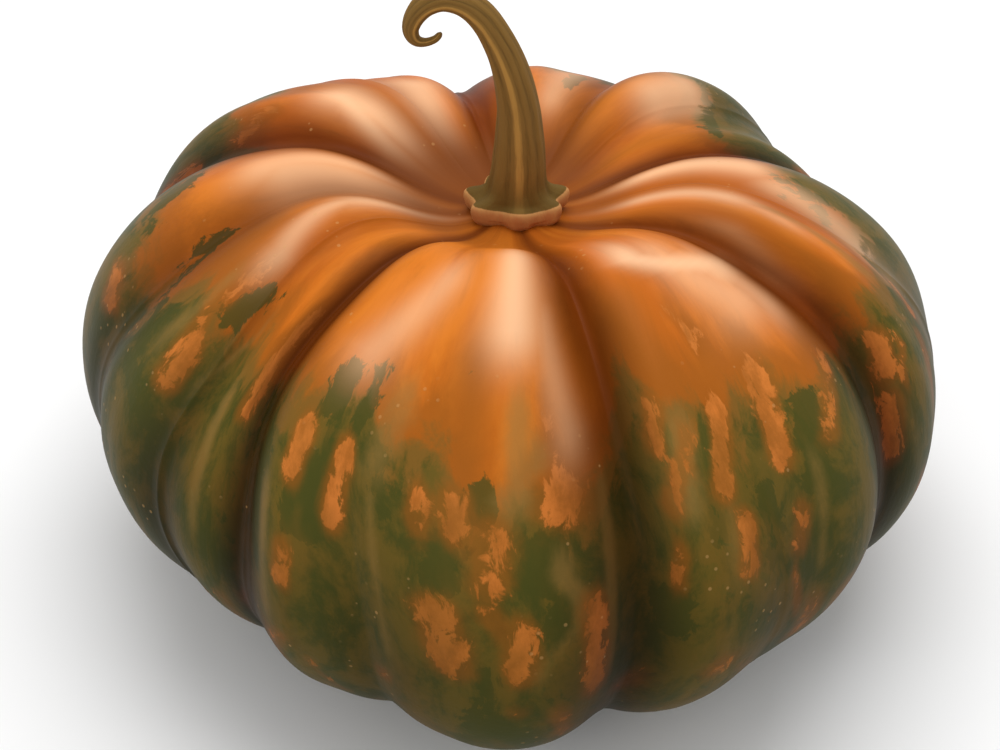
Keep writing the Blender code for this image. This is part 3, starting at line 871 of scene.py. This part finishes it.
class PumpkinSkinSettings(PropertyGroup):
    """Sizes and colours of the fruit."""

    groove_scale: FloatProperty(
        name="Groove depth", description="Share of the grown depth of the grooves",
        default=1.0, min=0.5, max=1.3, subtype="FACTOR")
    relief: FloatProperty(
        name="Unevenness", description="How uneven the rind grew, as a share",
        default=1.0, min=0.0, max=2.0)
    roughness: FloatProperty(
        name="Roughness", description="How matt the rind is",
        default=0.43, min=0.1, max=0.9, subtype="FACTOR")
    # Strength of the painted highlights on the shoulders.
    painted_highlight_strength: FloatProperty(
        name="Bloom", description="How pale the waxy bloom makes the shoulders",
        default=0.72, min=0.0, max=1.0, subtype="FACTOR")
    orange: colour_setting("Orange", "Ripe rind on the crown", (0.68, 0.190, 0.016))
    orange_deep: colour_setting("Deep orange", "Redder rind", (0.54, 0.128, 0.009))
    olive_brown: colour_setting("Olive brown", "Rind that is turning", (0.20, 0.100, 0.016))
    burnt_orange: colour_setting("Burnt orange", "Orange about to turn", (0.33, 0.095, 0.009))
    # Colour of the tan marks and of the painted highlights on the rib edges.
    tan: colour_setting("Tan", "Paler lines low on the flanks", (0.29, 0.165, 0.042))
    green: colour_setting("Green", "Lighter unripe rind", (0.138, 0.092, 0.014))
    green_dark: colour_setting("Dark green", "Darkest unripe rind", (0.066, 0.066, 0.011))
    streak: colour_setting("Streak", "Orange streaks in the green", (0.66, 0.20, 0.035))
    streak_deep: colour_setting("Deep streak", "Browner streaks", (0.40, 0.125, 0.018))
    # Colour of the painted highlights on the shoulders.
    painted_highlight_colour: colour_setting("Bloom colour", "Waxy bloom", (1.0, 0.62, 0.36))
    # Colour of the painted shade in the hollow round the stem.
    hollow_shade_colour: colour_setting("Hollow brown", "Rind round the stem", (0.17, 0.046, 0.009))
    speck_colour: colour_setting("Speck", "Corky specks", (0.60, 0.33, 0.12))
    scar_colour: colour_setting("Blossom scar", "Dry blossom end", (0.22, 0.14, 0.07))


class PumpkinStemSettings(PropertyGroup):
    """Sizes and colours of the stem."""

    ridge_scale: FloatProperty(
        name="Ridge height", description="Share of the grown height of the ridges",
        default=1.0, min=0.0, max=1.5)
    roughness: FloatProperty(
        name="Roughness", description="How matt the wood is",
        default=0.72, min=0.2, max=1.0, subtype="FACTOR")
    wood: colour_setting("Wood", "Most of the shaft", (0.225, 0.120, 0.026))
    ridge: colour_setting("Ridge", "Worn, golden ridges", (0.42, 0.225, 0.050))
    furrow: colour_setting("Furrow", "Dark furrows", (0.120, 0.064, 0.013))
    olive: colour_setting("Olive", "Shaft above the foot", (0.125, 0.074, 0.013))
    rim: colour_setting("Rim", "Flesh of the foot's rim", (0.55, 0.275, 0.092))
    rim_deep: colour_setting("Deep rim", "Darker flesh", (0.50, 0.215, 0.072))


class PumpkinStudioSettings(PropertyGroup):
    """The plain studio."""

    floor_colour: colour_setting("Floor", "Colour of the floor", (0.95, 0.95, 0.95))
    overhead_power: FloatProperty(
        name="Overhead light", description="Power of the soft box overhead, in watts",
        default=10.5, min=0.0)
    room_light: FloatProperty(
        name="Room light", description="Brightness of the white room", default=0.66, min=0.0)
    lens: FloatProperty(
        name="Lens", description="Focal length in millimetres", default=75.6, min=20.0)
    camera_height: FloatProperty(
        name="Camera height", description="Height of the camera over the floor",
        default=0.5346, unit="LENGTH")
    camera_back: FloatProperty(
        name="Camera distance", description="How far in front of the middle the camera stands",
        default=0.5745, unit="LENGTH")


# ---------------------------------------------------------------- operators

class PUMPKIN_OT_fruit(Operator):
    """Build the ribbed fruit"""

    bl_idname = "pumpkin.fruit"
    bl_label = "Fruit"

    def execute(self, context):
        settings = context.scene.pumpkin_skin
        points, maps = fruit_grid(settings.groove_scale, settings.relief)
        points = fit_to_box(points, "pumpkin_fruit")
        top = points[:, 0].mean(axis=0)
        bottom = points[:, -1].mean(axis=0)
        mesh = mesh_from_grid("pumpkin_rind", points, top, bottom)
        for name, grid in colour_maps(maps).items():
            add_value_layer(mesh, name, grid, grid[:, 0].mean(), grid[:, -1].mean())
        around = np.radians(maps["longitude"])
        polar = maps["polar"]
        growth = np.stack([np.cos(around), np.sin(around), 0.45 * polar], axis=-1)
        add_vector_layer(mesh, "growth", growth, (0.0, 0.0, 0.0), (0.0, 0.0, 0.45 * np.pi))
        face_outwards(mesh)
        add_piece("pumpkin_rind", mesh, skin_material(settings), "pumpkin_fruit")
        return {"FINISHED"}


class PUMPKIN_OT_stem(Operator):
    """Build the curled stem and its foot"""

    bl_idname = "pumpkin.stem"
    bl_label = "Stem"

    def execute(self, context):
        settings = context.scene.pumpkin_stem
        low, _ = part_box("pumpkin_stem")
        middle = (-OUTLINE_CENTRE[0], -OUTLINE_CENTRE[1])
        points, maps = stem_grid(settings.ridge_scale, low[2], middle)
        foot_end = points[:, 0].mean(axis=0)
        tip = points[:, -1].mean(axis=0)
        mesh = mesh_from_grid("curled_stem", points, foot_end, tip)
        rise = maps["rise"]
        rim = smoothstep((RIM_TOP - rise) / 0.0014)
        rim_top = smoothstep((rise - RIM_SHADE) / 0.0022)
        base = smoothstep((OLIVE_TOP - rise) / 0.012)
        for name, grid in (("ridge", maps["ridge"]), ("rim", rim), ("base", base),
                           ("rim_top", rim_top)):
            add_value_layer(mesh, name, grid, grid[:, 0].mean(), grid[:, -1].mean())
        turn = np.radians(maps["turn"])
        fibre = np.stack([np.cos(turn), np.sin(turn), 1.4 * maps["climb"]], axis=-1)
        add_vector_layer(mesh, "fibre", fibre, (0.0, 0.0, 0.0), (0.0, 0.0, 1.4))
        face_outwards(mesh)
        add_piece("curled_stem", mesh, stem_material(settings), "pumpkin_stem")
        return {"FINISHED"}


# ---------------------------------------------------------------- studio sizes, metres and watts

FLOOR_HALF_SIDE = 6.0
LIGHT_TARGET = (0.0, 0.0, 0.12)
OVERHEAD_PLACE = (0.05, 0.28, 1.30)
OVERHEAD_SIZE = (1.2, 0.85)
FRONT_FILL_PLACE = (-0.7, -1.3, 0.9)
FRONT_FILL_SIZE = (0.9, 0.9)
FRONT_FILL_POWER = 3.0
CAMERA_TARGET = (-0.0022, 0.0066, 0.0762)
SENSOR_WIDTH = 36.0             # millimetres


def aimed(place, target):
    """Rotation that points an object's -Z from place at target, with its top upwards."""
    return (Vector(target) - Vector(place)).to_track_quat("-Z", "Y").to_euler()


def add_soft_box(name, place, size, power):
    """A rectangular area light aimed at the middle of the pumpkin."""
    light = bpy.data.lights.new(name, "AREA")
    light.shape = "RECTANGLE"
    light.size, light.size_y = size
    light.energy = power
    lamp = bpy.data.objects.new(name, light)
    lamp.location = place
    lamp.rotation_euler = aimed(place, LIGHT_TARGET)
    bpy.context.scene.collection.objects.link(lamp)


class PUMPKIN_OT_studio(Operator):
    """Lay the floor and set the lights and the camera"""

    bl_idname = "pumpkin.studio"
    bl_label = "Studio"

    def execute(self, context):
        settings = context.scene.pumpkin_studio
        scene = context.scene
        mesh = bpy.data.meshes.new("studio_floor")
        side = FLOOR_HALF_SIDE
        corners = [(-side, -side, 0.0), (side, -side, 0.0), (side, side, 0.0), (-side, side, 0.0)]
        mesh.from_pydata(corners, [], [(0, 1, 2, 3)])
        mesh.materials.append(floor_material(settings))
        floor = bpy.data.objects.new("studio_floor", mesh)
        scene.collection.objects.link(floor)

        world = bpy.data.worlds.new("white_room")
        world.use_nodes = True
        background = world.node_tree.nodes["Background"]
        background.inputs["Color"].default_value = (1.0, 1.0, 1.0, 1.0)
        background.inputs["Strength"].default_value = settings.room_light
        scene.world = world
        add_soft_box("overhead_box", OVERHEAD_PLACE, OVERHEAD_SIZE, settings.overhead_power)
        add_soft_box("front_fill", FRONT_FILL_PLACE, FRONT_FILL_SIZE, FRONT_FILL_POWER)

        camera = bpy.data.cameras.new("camera")
        camera.lens = settings.lens
        camera.sensor_width = SENSOR_WIDTH
        viewer = bpy.data.objects.new("camera", camera)
        place = (CAMERA_TARGET[0], -settings.camera_back, settings.camera_height)
        viewer.location = place
        viewer.rotation_euler = aimed(place, CAMERA_TARGET)
        scene.collection.objects.link(viewer)
        scene.camera = viewer
        scene.view_settings.view_transform = "Standard"
        return {"FINISHED"}


class PUMPKIN_PT_panel(Panel):
    """Sidebar panel with every part of the pumpkin"""

    bl_label = "Ribbed Pumpkin"
    bl_idname = "PUMPKIN_PT_panel"
    bl_space_type = "VIEW_3D"
    bl_region_type = "UI"
    bl_category = "Pumpkin"

    def draw(self, context):
        layout = self.layout
        for operator in BUILD_ORDER:
            layout.operator(operator.bl_idname)
        for group in (context.scene.pumpkin_skin, context.scene.pumpkin_stem,
                      context.scene.pumpkin_studio):
            box = layout.box()
            for name in group.__annotations__:
                box.prop(group, name)


BUILD_ORDER = (PUMPKIN_OT_fruit, PUMPKIN_OT_stem, PUMPKIN_OT_studio)
SETTINGS = (
    ("pumpkin_skin", PumpkinSkinSettings),
    ("pumpkin_stem", PumpkinStemSettings),
    ("pumpkin_studio", PumpkinStudioSettings),
)


def register():
    for _, group in SETTINGS:
        bpy.utils.register_class(group)
    for operator in BUILD_ORDER:
        bpy.utils.register_class(operator)
    bpy.utils.register_class(PUMPKIN_PT_panel)
    for name, group in SETTINGS:
        setattr(bpy.types.Scene, name, PointerProperty(type=group))


def unregister():
    for name, _ in SETTINGS:
        delattr(bpy.types.Scene, name)
    bpy.utils.unregister_class(PUMPKIN_PT_panel)
    for operator in reversed(BUILD_ORDER):
        bpy.utils.unregister_class(operator)
    for _, group in reversed(SETTINGS):
        bpy.utils.unregister_class(group)


def main():
    register()
    bpy.ops.pumpkin.fruit()
    bpy.ops.pumpkin.stem()
    bpy.ops.pumpkin.studio()
    bpy.context.view_layer.update()


if __name__ == "__main__":
    main()
